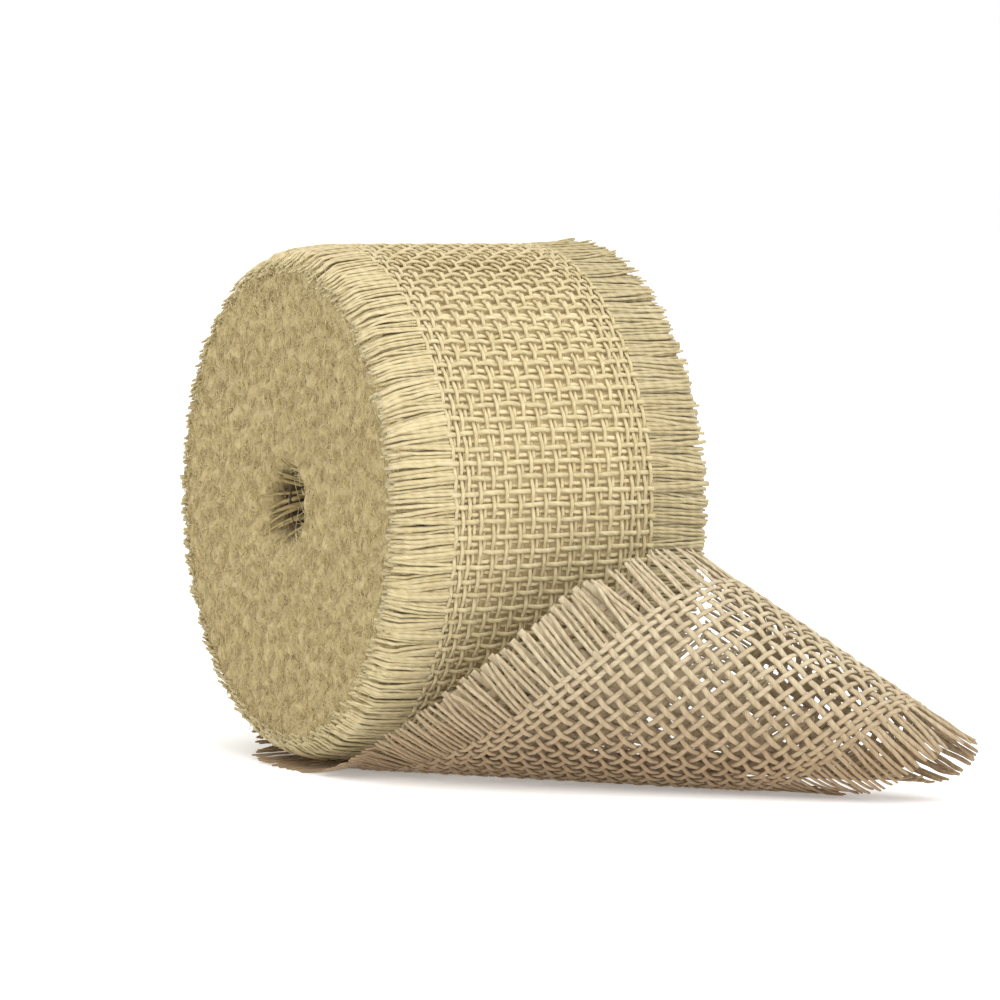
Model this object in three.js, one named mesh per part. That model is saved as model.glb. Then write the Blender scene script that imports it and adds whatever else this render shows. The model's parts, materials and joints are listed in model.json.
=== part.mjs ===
// A roll of fringed burlap ribbon, lying on its side with its loose end drawn out and curling up.
// Millimetres, +Z up. The roll's axis is parallel to Y, and the ribbon leaves its underside along +X.
// The origin is on the floor under the middle of the roll, on the underside of the loose tail.
import * as THREE from "three";

// Ribbon
const fringeLength = 12.5; // frayed weft ends beyond each selvage
const clothThickness = 1; // one layer of the plain weave
const warpYarn = 0.8; // diameter of a lengthwise yarn
const bodyWarps = 12;
const bodyWarpPitch = 2.9;
const nearSelvageWarps = 3;
const nearSelvagePitch = 1.6;
const farSelvageWarps = 4;
const farSelvagePitch = 1.4;
const selvageSpace = 2.45; // from each selvage's inner yarn to the first body yarn

// Roll
const rollRadius = 53; // over the crowns of the outermost warp yarns
const coreRadius = 6.5; // the open hole left by the winding mandrel
const nearEndTaper = 1.4; // how far the near fringe closes in at its tips
const farEndFlare = 0.9; // how far the far fringe opens out at its tips
const fringeLayer = 1.4; // thickness of the outermost turn's fringe
const endRecess = 0.6; // inner turns' cut ends sit this far inside the outermost fringe's tips

// Loose tail
const tailYaw = THREE.MathUtils.degToRad(4); // the ribbon leaves the roll a little askew
const pressedFlat = 9; // how far behind the roll's axis the weight keeps the cloth on the floor
const hugLength = 25; // stretch behind that, which follows the roll's underside
const creaseAngle = THREE.MathUtils.degToRad(32); // between the ribbon's length and the line it lifts off at
const apexReach = 160; // from the crease's near end to the apex, where the curl's generators meet
const nestlingHeight = 18; // over the floor, where the curl comes nearest to the roll's flank
const apexStandoff = 2.46; // beyond that flank, the near fringe and the curl's own width, to the apex
const curlHalfAngle = THREE.MathUtils.degToRad(15);
const curlWrap = THREE.MathUtils.degToRad(450); // turn of the curl at the free end, halfway across the band
const curlTighten = 3.2; // how far inside itself the curl has wound after a full turn
const nearFringeRelease = 20; // past the crease's near end, where the lifted fringe clears the roll

const clearance = 0.3; // between touching pieces
const turnSegments = 36; // round every piece that is wound about the roll's axis
const yarnSides = 5;

const nearSelvage = (nearSelvageWarps - 1) * nearSelvagePitch;
const body = (bodyWarps - 1) * bodyWarpPitch;
const farSelvage = (farSelvageWarps - 1) * farSelvagePitch;
const bandWidth = warpYarn + nearSelvage + selvageSpace + body + selvageSpace + farSelvage;
const halfBand = bandWidth / 2;
const rollAxisHeight = clothThickness + clearance + rollRadius;
const bandOuter = rollRadius - warpYarn - clearance;
const bandInner = bandOuter - clothThickness;

const weave = new THREE.MeshStandardMaterial({ color: 0xd8cba2, roughness: 0.95, metalness: 0 });
const warps = new THREE.MeshStandardMaterial({ color: 0xe6dbb4, roughness: 0.92, metalness: 0 });
const fringe = new THREE.MeshStandardMaterial({ color: 0xdccb9c, roughness: 0.95, metalness: 0 });
const cutEnds = new THREE.MeshStandardMaterial({ color: 0xc2b184, roughness: 1, metalness: 0 });

function piece(name, geometry, material) {
  const mesh = new THREE.Mesh(geometry, material);
  mesh.name = name;
  return mesh;
}

// A closed outline of [radius, y] corners turned about the roll's axis.
function turned(corners) {
  const profile = [...corners, corners[0]].map(([radius, y]) => new THREE.Vector2(radius, y));
  return new THREE.LatheGeometry(profile, turnSegments);
}

function sleeve(inner, outer, low, high) {
  return turned([[inner, low], [outer, low], [outer, high], [inner, high]]);
}

function yarnRing(y) {
  const radius = warpYarn / 2;
  const corners = [];
  for (let side = 0; side < yarnSides; side++) {
    const angle = (side / yarnSides) * 2 * Math.PI;
    corners.push([rollRadius - radius + radius * Math.cos(angle), y + radius * Math.sin(angle)]);
  }
  return turned(corners);
}

// The outermost turn's fringe, and the packed fringe ends of the turns inside it.
// side is -1 at the near end and +1 at the far end; spread is how far the tips stand off the band.
function outerFringe(side, spread) {
  const root = side * (halfBand + clearance);
  const tip = side * (halfBand + fringeLength);
  const corners = [
    [bandOuter - fringeLayer, root],
    [bandOuter, root],
    [bandOuter + spread, tip],
    [bandOuter + spread - fringeLayer, tip],
  ];
  return turned(side > 0 ? corners : corners.reverse());
}

function fringePack(side, spread) {
  const root = side * (halfBand + clearance);
  const tip = side * (halfBand + fringeLength - endRecess);
  const outer = bandOuter - fringeLayer - clearance;
  const corners = [[coreRadius, root], [outer, root], [outer + Math.min(spread, 0), tip], [coreRadius, tip]];
  return turned(side > 0 ? corners : corners.reverse());
}

function woundRoll() {
  const roll = new THREE.Group();
  roll.position.z = rollAxisHeight;
  const coreTurn = sleeve(coreRadius, coreRadius + clothThickness, -halfBand, halfBand);
  const woundInner = coreRadius + clothThickness + clearance;
  roll.add(
    piece("core_turn", coreTurn, weave),
    piece("wound_turns", sleeve(woundInner, bandInner - clearance, -halfBand, halfBand), weave),
    piece("near_fringe_pack", fringePack(-1, -nearEndTaper), cutEnds),
    piece("far_fringe_pack", fringePack(1, farEndFlare), cutEnds),
    piece("outer_turn_band", sleeve(bandInner, bandOuter, -halfBand, halfBand), weave),
    piece("outer_near_fringe", outerFringe(-1, -nearEndTaper), fringe),
    piece("outer_far_fringe", outerFringe(1, farEndFlare), fringe),
  );
  for (const [name, y] of warpPlaces()) roll.add(piece(name, yarnRing(y), warps));
  return roll;
}

// Names and places of the lengthwise yarns across the band, from the near selvage to the far one.
function warpPlaces() {
  const places = [];
  let across = -halfBand + warpYarn / 2;
  for (let i = 0; i < nearSelvageWarps; i++) {
    places.push([`near_selvage_warp_${i + 1}`, across + i * nearSelvagePitch]);
  }
  across += nearSelvage + selvageSpace;
  for (let i = 0; i < bodyWarps; i++) {
    places.push([`body_warp_${String(i + 1).padStart(2, "0")}`, across + i * bodyWarpPitch]);
  }
  across += body + selvageSpace;
  for (let i = 0; i < farSelvageWarps; i++) {
    places.push([`far_selvage_warp_${i + 1}`, across + i * farSelvagePitch]);
  }
  return places;
}

// The crease where the curl leaves the floor, as a distance along the ribbon at each place across it.
const curlWidth = 2 * apexReach * Math.tan(curlHalfAngle); // abreast of the crease's near end
const flank = Math.sqrt(nestlingHeight * (2 * rollRadius - nestlingHeight));
const apexAlong = flank + fringeLength + curlWidth + apexStandoff;
const creaseStart = apexAlong - apexReach * Math.cos(creaseAngle);
const creaseAt = (across) => creaseStart + (across + halfBand) / Math.tan(creaseAngle);

// From flat ribbon coordinates to the floor plan.
function onFloor(along, across) {
  return new THREE.Vector2(along, across).rotateAround(new THREE.Vector2(), tailYaw);
}

const creaseHeading = tailYaw + creaseAngle;
const apex = onFloor(creaseStart, -halfBand).add(
  new THREE.Vector2(Math.cos(creaseHeading), Math.sin(creaseHeading)).multiplyScalar(apexReach),
);
const restingGenerator = new THREE.Vector3(-Math.cos(creaseHeading), -Math.sin(creaseHeading), 0);
const curlAxis = restingGenerator
  .clone()
  .multiplyScalar(Math.cos(curlHalfAngle))
  .add(new THREE.Vector3(0, 0, Math.sin(curlHalfAngle)));

// A point of the tail: along and across the ribbon, and depth up from its underside.
// The cloth only bends: round the roll's underside, then flat, then round a cone that lies on its crease
// and winds slowly inside itself.
function tailPoint(along, across, depth) {
  const plan = onFloor(along, across);
  const fromApex = plan.clone().sub(apex);
  const past = fromApex.angle() - (creaseHeading + Math.PI);
  if (past > 0 && along > creaseAt(across)) {
    const turn = past / Math.sin(curlHalfAngle);
    const generator = restingGenerator.clone().applyAxisAngle(curlAxis, turn);
    const inward = curlAxis.clone().addScaledVector(generator, -Math.cos(curlHalfAngle)).normalize();
    return new THREE.Vector3(apex.x, apex.y, 0)
      .addScaledVector(generator, fromApex.length())
      .addScaledVector(inward, depth + (curlTighten * turn) / (2 * Math.PI));
  }
  if (plan.x < -pressedFlat) {
    const turn = (-pressedFlat - plan.x) / rollAxisHeight;
    const radius = rollAxisHeight - depth;
    return new THREE.Vector3(
      -pressedFlat - radius * Math.sin(turn),
      plan.y,
      rollAxisHeight - radius * Math.cos(turn),
    );
  }
  return new THREE.Vector3(plan.x, plan.y, depth);
}

// A stretch of cloth between two lines across the ribbon, each given as a distance at each place across.
function stretch({ from, to, low, high, steps, rows }) {
  const cloth = new THREE.BoxGeometry(1, 1, 1, steps, rows, 1);
  const position = cloth.getAttribute("position");
  for (let i = 0; i < position.count; i++) {
    const across = THREE.MathUtils.lerp(low, high, position.getY(i) + 0.5);
    const along = THREE.MathUtils.lerp(from(across), to(across), position.getX(i) + 0.5);
    const point = tailPoint(along, across, (position.getZ(i) + 0.5) * clothThickness);
    position.setXYZ(i, point.x, point.y, point.z);
  }
  return cloth;
}

const acrossBand = { low: -halfBand, high: halfBand };
const acrossNearFringe = { low: -halfBand - fringeLength, high: -halfBand - clearance };
const acrossFarFringe = { low: halfBand + clearance, high: halfBand + fringeLength };
const creaseGap = clearance / 2 / Math.sin(creaseAngle); // each side of the crease, along the ribbon
const tailStart = () => -pressedFlat - hugLength;
const apexAcross = apexReach * Math.sin(creaseAngle) - halfBand;
const endSlant = creaseAngle + curlWrap * Math.sin(curlHalfAngle) - Math.PI / 2;
const tailEnd = apexAlong + apexAcross * Math.tan(endSlant);
const freeEnd = () => tailEnd;
const beforeCrease = (across) => creaseAt(across) - creaseGap;
const afterCrease = (across) => creaseAt(across) + creaseGap;

function floorTail() {
  const tail = new THREE.Group();
  const underRoll = () => beforeCrease(-halfBand);
  tail.add(
    piece("tail_band", stretch({ from: tailStart, to: beforeCrease, ...acrossBand, steps: 16, rows: 4 }), weave),
    piece(
      "tail_near_fringe",
      stretch({ from: tailStart, to: underRoll, ...acrossNearFringe, steps: 10, rows: 1 }),
      fringe,
    ),
    piece(
      "tail_far_fringe",
      stretch({ from: tailStart, to: beforeCrease, ...acrossFarFringe, steps: 16, rows: 1 }),
      fringe,
    ),
  );
  return tail;
}

function curledTail() {
  const curl = new THREE.Group();
  const released = () => creaseStart + nearFringeRelease;
  curl.add(
    piece("curl_band", stretch({ from: afterCrease, to: freeEnd, ...acrossBand, steps: 36, rows: 8 }), weave),
    piece(
      "curl_near_fringe",
      stretch({ from: released, to: freeEnd, ...acrossNearFringe, steps: 32, rows: 2 }),
      fringe,
    ),
    piece(
      "curl_far_fringe",
      stretch({ from: afterCrease, to: freeEnd, ...acrossFarFringe, steps: 40, rows: 3 }),
      fringe,
    ),
  );
  return curl;
}

const ribbonRoll = new THREE.Group();
ribbonRoll.add(woundRoll(), floorTail(), curledTail());

export default ribbonRoll;
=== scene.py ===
import json
import math
from dataclasses import dataclass, replace

import bpy
import numpy as np
from bpy.props import FloatProperty, FloatVectorProperty, IntProperty, PointerProperty
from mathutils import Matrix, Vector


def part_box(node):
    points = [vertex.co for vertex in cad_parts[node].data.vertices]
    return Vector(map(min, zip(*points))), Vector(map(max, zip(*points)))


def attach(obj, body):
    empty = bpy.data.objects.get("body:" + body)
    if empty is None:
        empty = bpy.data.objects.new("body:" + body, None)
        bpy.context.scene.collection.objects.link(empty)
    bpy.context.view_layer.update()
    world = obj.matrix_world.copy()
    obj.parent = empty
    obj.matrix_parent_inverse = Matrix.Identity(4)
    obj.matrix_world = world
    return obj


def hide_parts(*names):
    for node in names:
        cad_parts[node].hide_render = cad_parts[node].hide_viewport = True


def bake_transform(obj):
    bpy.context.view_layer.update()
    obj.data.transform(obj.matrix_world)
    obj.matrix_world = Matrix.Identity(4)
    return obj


bl_info = {
    "name": "Fringed Ribbon Roll",
    "version": (1, 0, 0),
    "blender": (4, 5, 0),
    "location": "3D View > Sidebar > Ribbon Roll",
    "description": "A roll of fringed burlap ribbon, woven yarn by yarn on its fixed frame",
    "category": "Object",
}

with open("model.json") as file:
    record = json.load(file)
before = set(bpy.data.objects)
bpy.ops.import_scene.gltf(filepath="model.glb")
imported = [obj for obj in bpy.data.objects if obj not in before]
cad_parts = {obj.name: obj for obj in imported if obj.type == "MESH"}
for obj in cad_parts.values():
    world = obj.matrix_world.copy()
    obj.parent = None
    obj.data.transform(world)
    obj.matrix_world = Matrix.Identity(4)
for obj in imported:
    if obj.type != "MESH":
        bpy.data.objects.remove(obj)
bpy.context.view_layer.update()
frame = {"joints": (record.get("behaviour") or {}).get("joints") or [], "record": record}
FULL_TURN = 2 * math.pi
NEAR = -1
FAR = 1


# ------------------------------------------------------------------ sizes and colours


def metres(label, description, default):
    return FloatProperty(name=label, description=description, default=default, unit="LENGTH")


def degrees(label, description, default):
    return FloatProperty(
        name=label, description=description, default=math.radians(default), subtype="ANGLE")


def fraction(label, description, default):
    return FloatProperty(name=label, description=description, default=default, subtype="FACTOR")


def plain(label, description, default):
    return FloatProperty(name=label, description=description, default=default)


def tone(label, description, default):
    return FloatVectorProperty(
        name=label, description=description, default=default, size=3, subtype="COLOR")


class ClothSizes(bpy.types.PropertyGroup):
    """The ribbon's yarns and how they cross."""

    warp_width: metres("Warp width", "Width of a lengthwise yarn", 0.00084)
    warp_height: metres("Warp height", "Thickness of a lengthwise yarn", 0.00054)
    weft_width: metres("Weft width", "Width of a crosswise yarn", 0.00100)
    weft_height: metres("Weft height", "Thickness of a crosswise yarn", 0.00062)
    selvage_reach: metres("Selvage reach", "How far past the band's edge a weft is woven", 0.0006)
    wefts_per_turn: IntProperty(
        name="Wefts per turn", description="Crosswise yarns in the outermost turn, an even number",
        default=112)
    turn_spacing: metres("Turn spacing", "From one wound turn to the next", 0.00095)
    pressed_spacing: metres(
        "Pressed spacing", "From the outermost turn to the one it is nested into", 0.00078)
    warp_share: fraction("Warp share", "How much of the crossing's rise the warp takes", 0.44)
    drift: metres("Drift", "How far a yarn strays sideways", 0.00019)
    ragged: metres("Ragged", "Unevenness of the warps at the cut end", 0.0018)
    raveled: metres("Raveled", "Length of bare warps at the tail's ends", 0.0045)
    ply_width: metres("Ply width", "Width of one opened strand", 0.00092)


class RollSizes(bpy.types.PropertyGroup):
    """What the frame leaves open on the roll."""

    core_radius: metres("Core radius", "Radius of the open hole", 0.0065)
    near_droop: metres("Near droop", "How far the near fringe closes in at its tips", 0.0017)
    near_tuck: metres("Near tuck", "How far the near fringe's very tips turn in", 0.0015)
    far_flare: metres("Far flare", "How far the far fringe opens out at its tips", 0.0008)
    fringe_depth: metres(
        "Fringe depth", "From the crowns down to the matted ends, at the fringe's root", 0.0020)
    felt_back: metres("Felt back", "How far the matted ends stand back from the longest fringe", 0.0012)
    end_relief: metres("End relief", "Unevenness of the matted ends", 0.00020)
    edge_round: metres("Edge rounding", "How far the matted ends round off", 0.0018)
    mouth_width: metres("Mouth width", "How far round the hole its mouth slopes in", 0.0034)
    mouth_depth: metres("Mouth depth", "How deep the mouth slopes in", 0.0055)
    pulled_width: metres(
        "Pulled width", "How much wider the mouth slopes where its yarns are pulled aside", 0.0075)
    pulled_turn: degrees("Pulled turn", "Where that is, as a turn from straight down", -72)


class TailSizes(bpy.types.PropertyGroup):
    """The bends of the loose tail. The crease's place and heading come from the frame's curl joint."""

    yaw: degrees("Yaw", "How askew the ribbon leaves the roll", 4)
    pressed_flat: metres("Pressed flat", "How far behind the axis the tail lies on the floor", 0.009)
    hug_length: metres("Hug length", "Stretch behind that, against the roll", 0.025)
    apex_reach: metres("Apex reach", "From the crease's near end to the curl's apex", 0.160)
    half_angle: degrees("Half angle", "Half angle of the cone that the curl follows", 15)
    wrap: degrees("Wrap", "Turn of the curl at the free end, halfway across", 450)
    tighten: metres("Tighten", "How far inside itself the curl has wound after a full turn", 0.0032)
    pressed_share: fraction("Pressed share", "Thickness left in the cloth under the roll", 0.78)
    roll_clearance: metres("Roll clearance", "Room between the lifted fringe and the roll", 0.0006)
    swell: fraction("Swell", "Width of the tail's loose yarns over that of the roll's tight ones", 1.22)
    bloom: fraction("Bloom", "The same for the yarns wound inside the curl, which lie flatter", 1.85)


class YarnColours(bpy.types.PropertyGroup):
    """Linear colours of the jute."""

    pale: tone("Pale", "Crowns of the roll's yarns", (0.74, 0.65, 0.41))
    straw: tone("Straw", "Deeper fibres of the roll's yarns", (0.57, 0.455, 0.235))
    # Painted light: the turns beneath get a lighter jute than the outer turn, which lifts the shade in the
    # gaps between its yarns.
    under_pale_painted_light: tone("Under pale", "Turns beneath, light", (0.88, 0.76, 0.48))
    under_straw_painted_light: tone("Under straw", "Turns beneath, deep", (0.72, 0.58, 0.33))
    fringe_pale: tone("Fringe pale", "Fringes beneath, light", (0.77, 0.68, 0.42))
    fringe_straw: tone("Fringe straw", "Fringes beneath, deep", (0.58, 0.46, 0.23))
    # Painted shade: the far fringes get a darker copy of the roll's jute, standing in for the shade on that
    # side of the roll.
    far_pale_painted_shade: tone("Far pale", "The far fringes, light", (0.63, 0.545, 0.335))
    far_straw_painted_shade: tone("Far straw", "The far fringes, deep", (0.45, 0.355, 0.18))
    # Painted shade: the innermost turn is near black, standing in for the shade deep in the hole.
    painted_shade_lining: tone("Lining", "Innermost turn", (0.07, 0.045, 0.02))
    felt_pale: tone("Felt pale", "Matted ends, light", (0.70, 0.575, 0.285))
    felt_straw: tone("Felt straw", "Matted ends, deep", (0.47, 0.36, 0.15))
    # Painted shade: the tail gets a darker, pinker copy of the roll's jute, standing in for the light that
    # falls on it.
    tail_pale_painted_shade: tone("Tail pale", "Crowns of the tail's yarns", (0.68, 0.58, 0.40))
    tail_straw_painted_shade: tone("Tail straw", "Deeper fibres of the tail's yarns", (0.44, 0.34, 0.21))
    # Painted shade: the yarns in the hole's mouth get a darker copy of the jute, standing in for the shade in
    # the hole.
    hole_pale_painted_shade: tone("Hole pale", "Yarns in the mouth of the hole, light", (0.57, 0.45, 0.20))
    hole_straw_painted_shade: tone("Hole straw", "Yarns in the mouth of the hole, deep", (0.27, 0.19, 0.07))
    # Painted shade: multiplied into the matted ends deeper inside the hole's mouth.
    hole_painted_shade: tone(
        "Hole tint", "Tint of the matted ends inside the mouth of the hole", (0.20, 0.14, 0.07))
    # Painted shade: multiplied into the tail as it nears the floor, standing in for the shade under the curl.
    low_painted_shade: tone("Low tint", "Tint of the tail where it nears the floor", (0.66, 0.55, 0.47))


class StageLook(bpy.types.PropertyGroup):
    """Floor, light and the camera's place."""

    floor: tone("Floor", "Linear colour of the floor", (0.93, 0.93, 0.93))
    floor_size: metres("Floor size", "Side of the floor", 60.0)
    ambient: plain("Ambient", "Strength of the white surroundings", 0.62)
    key: plain("Key", "Strength of the high soft light", 2.6)
    floor_glow: plain("Floor glow", "Light that the floor gives back by itself", 0.28)
    key_spread: degrees("Key spread", "Apparent size of the high soft light", 90)
    key_azimuth: degrees("Key azimuth", "Where the high light stands, as the camera's azimuth is given", 82)
    key_elevation: degrees("Key elevation", "Height of the high light", 60)
    azimuth: degrees("Azimuth", "Camera's turn round the roll", 61.66)
    elevation: degrees("Elevation", "Camera's height above the horizon", 3.47)
    distance: metres("Distance", "From the aim to the camera", 0.954)
    aim_right: metres("Aim right", "The aim's place right of the roll's centre", 0.01406)
    aim_up: metres("Aim up", "The aim's place above the roll's centre", -0.0003)
    lens: plain("Lens", "Focal length in millimetres", 165.6)


PROPERTY_GROUPS = {
    "ribbon_cloth": ClothSizes,
    "ribbon_roll": RollSizes,
    "ribbon_tail": TailSizes,
    "ribbon_colours": YarnColours,
    "ribbon_stage": StageLook,
}


# ------------------------------------------------------------------ places taken from the frame


def node_centre(node):
    low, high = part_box(node)
    return (low + high) / 2


BAND_LOW, BAND_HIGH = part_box("outer_turn_band")
HALF_BAND = BAND_HIGH.y
AXIS_HEIGHT = (BAND_LOW.z + BAND_HIGH.z) / 2
CROWN_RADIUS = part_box("body_warp_01")[1].x
HALF_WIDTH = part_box("outer_far_fringe")[1].y
FRINGE_LENGTH = HALF_WIDTH - HALF_BAND
CURL_JOINT = next(joint for joint in frame["joints"] if joint["name"] == "curl_lift")
ROLL_NODES = frame["record"]["behaviour"]["bodies"]["roll"]
WARP_NODES = sorted((name for name in ROLL_NODES if "_warp_" in name), key=lambda name: node_centre(name).y)
WARP_PLACES = np.array([node_centre(name).y for name in WARP_NODES])
WEFT_JITTER = 0.07
LIMIT_OF_ZERO = 1e-12
HEIGHT_STEP = 1e-4


def place(x, y, z):
    """Stack broadcast coordinates into points."""
    return np.stack(np.broadcast_arrays(x, y, z), -1).astype(float)


def unit(vectors):
    return vectors / np.maximum(np.linalg.norm(vectors, axis=-1, keepdims=True), LIMIT_OF_ZERO)


def ease(value, start, end):
    share = np.clip((value - start) / (end - start), 0, 1)
    return share * share * (3 - 2 * share)


class RollMap:
    """From a turn about the axis, a place across the ribbon and a height over a radius, to a point."""

    def __init__(self, radius):
        self.radius = radius

    def __call__(self, along, across, height):
        turn = along / self.radius
        reach = self.radius + height
        return place(reach * np.sin(turn), across, AXIS_HEIGHT - reach * np.cos(turn))


class TailMap:
    """From the flat tail to where it lies: round the roll's underside, on the floor, then round a cone."""

    def __init__(self, sizes):
        self.sizes = sizes
        self.heading = math.atan2(-CURL_JOINT["axis"][1], -CURL_JOINT["axis"][0])
        crease_x, crease_y = CURL_JOINT["pos_m"][:2]
        self.crease_start = crease_x * math.cos(sizes.yaw) + crease_y * math.sin(sizes.yaw)
        self.crease_angle = self.heading - sizes.yaw
        self.level = np.array([math.cos(self.heading), math.sin(self.heading), 0.0])
        self.apex = np.array([crease_x, crease_y, 0.0]) + sizes.apex_reach * self.level
        self.axis = -self.level * math.cos(sizes.half_angle) + np.array([0, 0, math.sin(sizes.half_angle)])
        self.apex_along = self.crease_start + sizes.apex_reach * math.cos(self.crease_angle)
        self.apex_across = sizes.apex_reach * math.sin(self.crease_angle) - HALF_BAND
        self.start = -sizes.pressed_flat - sizes.hug_length
        end_slant = self.crease_angle + sizes.wrap * math.sin(sizes.half_angle) - math.pi / 2
        self.end = self.apex_along + self.apex_across * math.tan(end_slant)

    def turn_at(self, along, across):
        """How far round the cone a flat place is wound: nothing before the crease."""
        yaw = self.sizes.yaw
        x = along * math.cos(yaw) - across * math.sin(yaw) - self.apex[0]
        y = along * math.sin(yaw) + across * math.cos(yaw) - self.apex[1]
        past = np.mod(np.arctan2(y, x), FULL_TURN) - (self.heading + math.pi)
        lifted = (past > 0) & (along > self.crease_at(across))
        return np.where(lifted, past / math.sin(self.sizes.half_angle), 0.0)

    def swell_at(self, along, across):
        """Width of a yarn there, over that of the roll's."""
        inside = ease(self.turn_at(along, across), math.radians(170), math.radians(250))
        return self.sizes.swell + (self.sizes.bloom - self.sizes.swell) * inside

    def crease_at(self, across):
        return self.crease_start + (across + HALF_BAND) / math.tan(self.crease_angle)

    def __call__(self, along, across, height):
        """height is over the tail's underside."""
        sizes = self.sizes
        along, across, height = np.broadcast_arrays(along, across, height)
        press = sizes.pressed_share + (1 - sizes.pressed_share) * ease(along, 0.006, 0.026)
        height = height * press
        plan_x = along * math.cos(sizes.yaw) - across * math.sin(sizes.yaw)
        plan_y = along * math.sin(sizes.yaw) + across * math.cos(sizes.yaw)
        points = place(plan_x, plan_y, height)
        behind = plan_x < -sizes.pressed_flat
        bend = (-sizes.pressed_flat - plan_x) / AXIS_HEIGHT
        reach = AXIS_HEIGHT - height
        hugging = place(
            -sizes.pressed_flat - reach * np.sin(bend), plan_y, AXIS_HEIGHT - reach * np.cos(bend))
        points = np.where(behind[..., None], hugging, points)
        distance = np.linalg.norm(place(plan_x, plan_y, 0.0) - self.apex, axis=-1)
        turn = self.turn_at(along, across)
        generator = turned_about(-self.level, self.axis, turn)
        inward = unit(self.axis - generator * math.cos(sizes.half_angle))
        depth = height + sizes.tighten * turn / FULL_TURN
        curled = self.apex + generator * distance[..., None] + inward * depth[..., None]
        return np.where((turn > 0)[..., None], curled, points)


def turned_about(vector, axis, angles):
    """One vector turned about an axis by each angle."""
    sine = np.sin(angles)[..., None]
    cosine = np.cos(angles)[..., None]
    return vector * cosine + np.cross(axis, vector) * sine + axis * np.dot(axis, vector) * (1 - cosine)


# ------------------------------------------------------------------ strands


class Strands:
    """Closed tubes of one mesh: each batch has its own paths, widths and number of sides."""

    def __init__(self):
        self.points = []
        self.corners = []
        self.sizes = []
        self.yarn_uv = []
        self.strip_uv = []
        self.count = 0
        self.strands = 0

    def add(self, paths, normals, widths, heights, sides, closed=False):
        """paths and normals are (strands, samples, 3); widths and heights are full sizes at each sample."""
        strands, samples = paths.shape[:2]
        if closed:
            tangents = unit(np.roll(paths, -1, 1) - np.roll(paths, 1, 1))
        else:
            tangents = unit(np.gradient(paths, axis=1))
        across = unit(np.cross(tangents, normals))
        upward = np.cross(across, tangents)
        angles = np.arange(sides) / sides * FULL_TURN
        half_width = np.broadcast_to(widths, (strands, samples))[..., None, None] / 2
        half_height = np.broadcast_to(heights, (strands, samples))[..., None, None] / 2
        rings = (
            paths[:, :, None]
            + across[:, :, None] * half_width * np.cos(angles)[:, None]
            + upward[:, :, None] * half_height * np.sin(angles)[:, None]
        )
        base = self.count + np.arange(strands)[:, None, None] * samples * sides
        spans = np.arange(samples if closed else samples - 1)[None, :, None]
        following = (spans + 1) % samples
        side = np.arange(sides)[None, None, :]
        beside = (side + 1) % sides
        quads = np.stack([
            base + spans * sides + side,
            base + following * sides + side,
            base + following * sides + beside,
            base + spans * sides + beside,
        ], -1)
        steps = np.linalg.norm(np.diff(paths, axis=1), axis=-1)
        lengths = np.concatenate([np.zeros((strands, 1)), np.cumsum(steps, 1)], 1)
        if closed:
            lap = lengths[:, -1:] + np.linalg.norm(paths[:, :1] - paths[:, -1:], axis=-1)
            lengths = np.concatenate([lengths, lap], 1)
        low = np.broadcast_to(lengths[:, :-1, None], quads.shape[:3])
        high = np.broadcast_to(lengths[:, 1:, None], quads.shape[:3])
        around = np.broadcast_to(side / sides, quads.shape[:3])
        yarn = np.stack([
            np.stack([low, around], -1),
            np.stack([high, around], -1),
            np.stack([high, around + 1 / sides], -1),
            np.stack([low, around + 1 / sides], -1),
        ], -2)
        self.points.append(rings.reshape(-1, 3))
        self.corners.append(quads.reshape(-1))
        self.sizes.append(np.full(quads[..., 0].size, 4))
        self.yarn_uv.append(yarn.reshape(-1, 2))
        longest = lengths[:, -1].reshape(-1, 1, 1, 1, 1)
        share = yarn / np.concatenate([np.broadcast_to(longest, yarn.shape[:-1] + (1,)),
                                       np.ones(yarn.shape[:-1] + (1,))], -1)
        number = np.broadcast_to(
            (self.strands + np.arange(strands)).reshape(-1, 1, 1, 1), yarn.shape[:-1])
        self.strip_uv.append((number.reshape(-1), share.reshape(-1, 2)))
        if not closed:
            self.add_caps(base, samples, sides, lengths, strands)
        self.strands += strands
        self.count += strands * samples * sides

    def add_caps(self, base, samples, sides, lengths, strands):
        side = np.arange(sides)
        first = base[:, 0, 0][:, None]
        start_cap = first + side
        end_cap = first + (samples - 1) * sides + side[::-1]
        number = self.strands + np.arange(strands)
        start = (start_cap, 0 * lengths[:, 0], 0.0)
        end = (end_cap, lengths[:, -1], 1.0)
        for cap, place_along, share_along in (start, end):
            self.corners.append(cap.reshape(-1))
            self.sizes.append(np.full(strands, sides))
            along = np.broadcast_to(place_along[:, None], cap.shape).reshape(-1)
            around = np.broadcast_to(side / sides, cap.shape).reshape(-1)
            self.yarn_uv.append(np.stack([along, around], -1))
            share = np.stack([np.full(along.shape, share_along), around], -1)
            self.strip_uv.append((np.repeat(number, sides), share))

    def piece(self, name, finish):
        """The strands as one object. Each strand also has a cell of its own in the baking map."""
        cell_shape = 6
        margin = 0.04
        columns = max(1, int(round(math.sqrt(self.strands) / cell_shape)))
        rows = math.ceil(self.strands / columns)
        cells = []
        for number, share in self.strip_uv:
            cell = np.stack([number % columns, number // columns], -1)
            inside = margin + (1 - 2 * margin) * share
            cells.append((cell + inside) / np.array([columns, rows]))
        return mesh_piece(
            name,
            np.concatenate(self.points),
            np.concatenate(self.corners),
            np.concatenate(self.sizes),
            {"Yarn": np.concatenate(self.yarn_uv), "OFBake": np.concatenate(cells)},
            finish,
        )


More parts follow.
